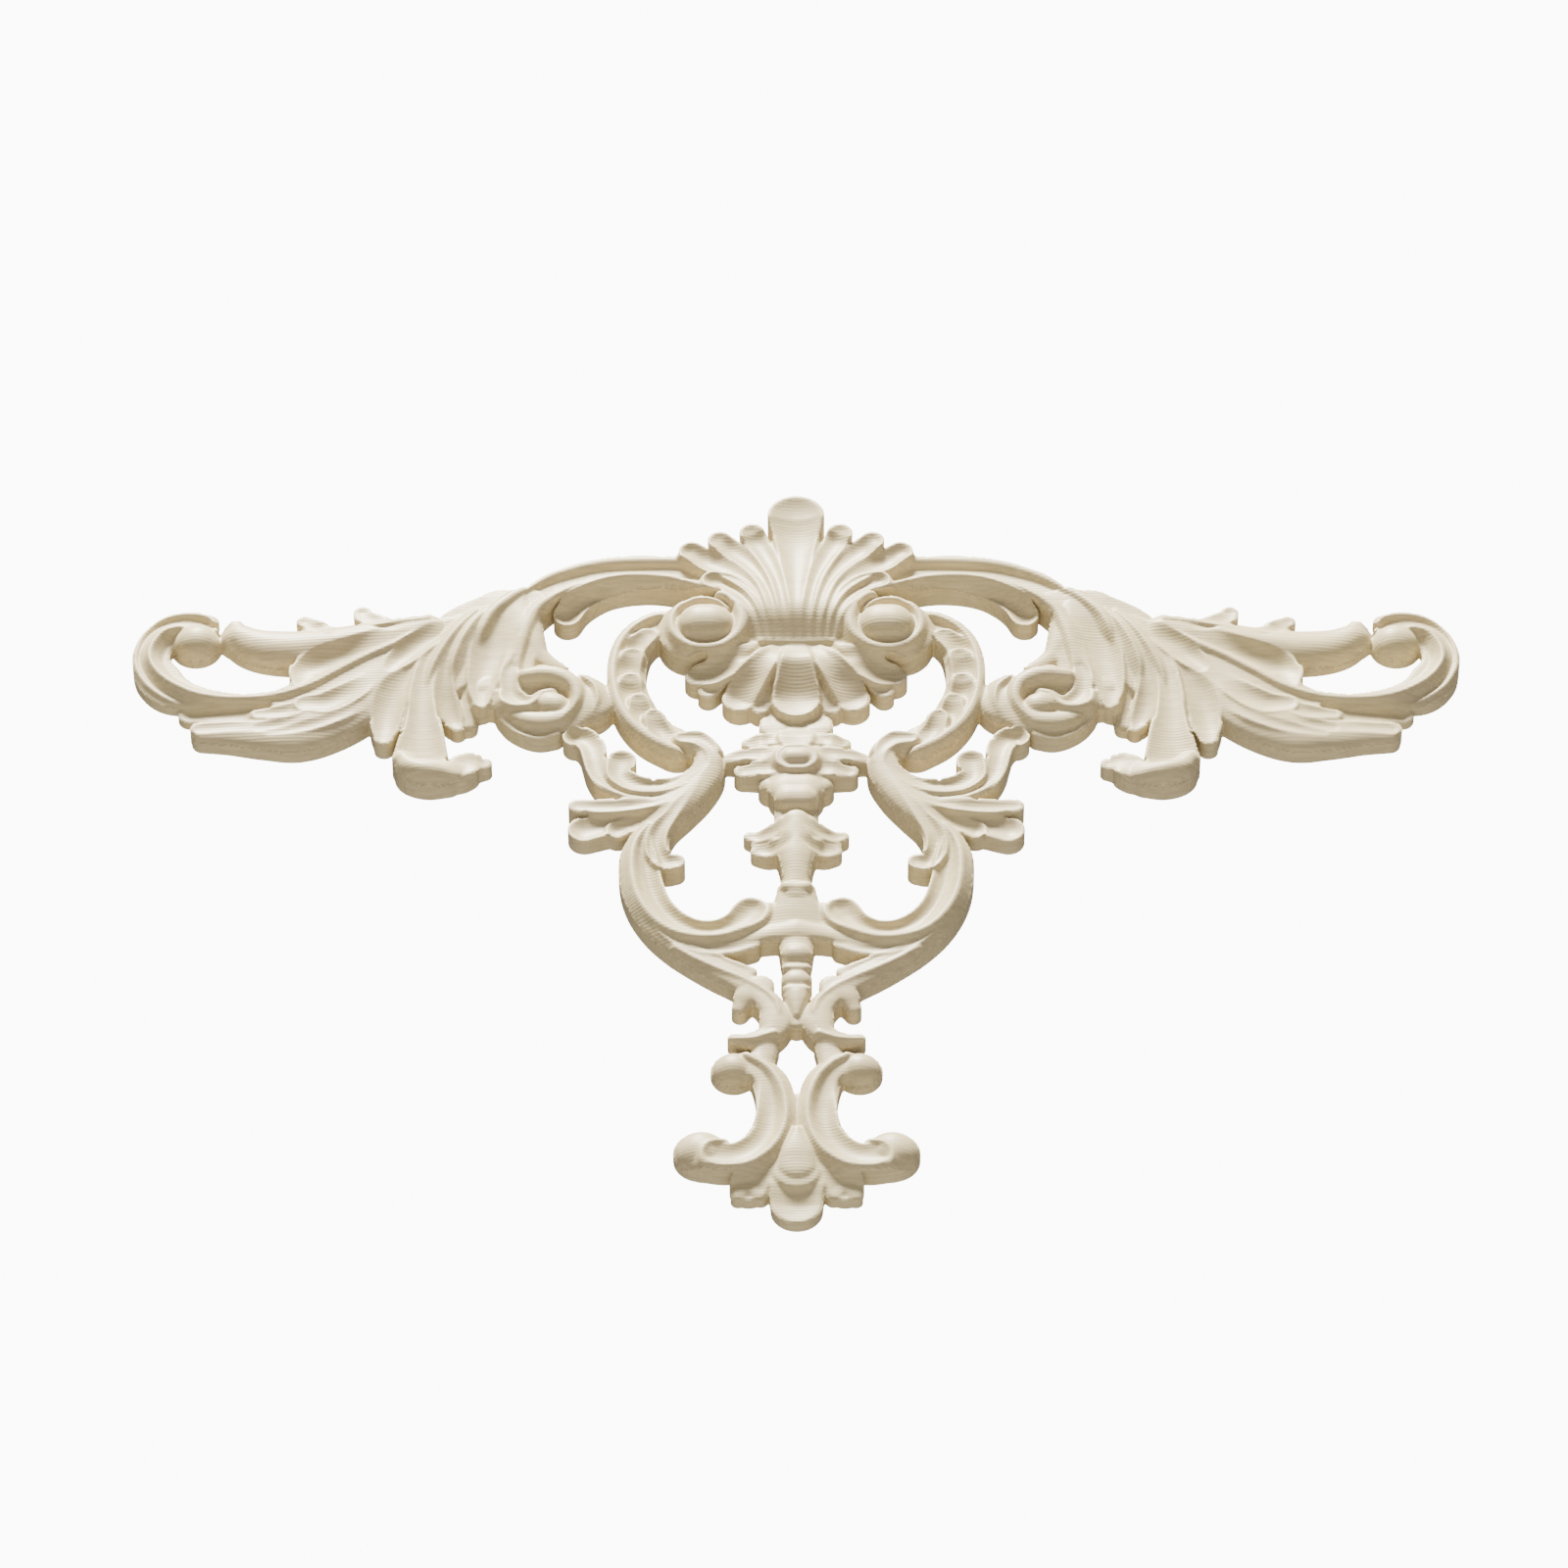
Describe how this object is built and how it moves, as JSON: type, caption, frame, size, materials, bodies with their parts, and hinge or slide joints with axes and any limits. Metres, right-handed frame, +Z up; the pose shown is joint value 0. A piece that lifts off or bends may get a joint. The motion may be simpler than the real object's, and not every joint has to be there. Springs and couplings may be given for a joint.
{
  "type": "carved wood applique",
  "caption": "Flat-backed carved wood applique with a shell crest, leaf-scroll wings, open side rings and a scrolled pendant with a lobed foot.",
  "frame": {"origin": "on the flat back, in the mirror plane, behind the waist of the shell", "axes": "+Z up, +Y out of the flat back towards the wall, so the carving faces -Y; +X across, from wing to wing"},
  "size_m": [0.4966, 0.0193, 0.3545],
  "materials": {
    "bleached_wood": "matte bare wood with fine tool marks"
  },
  "bodies": {
    "root": {"carved_applique": "bleached_wood"}
  },
  "joints": []
}
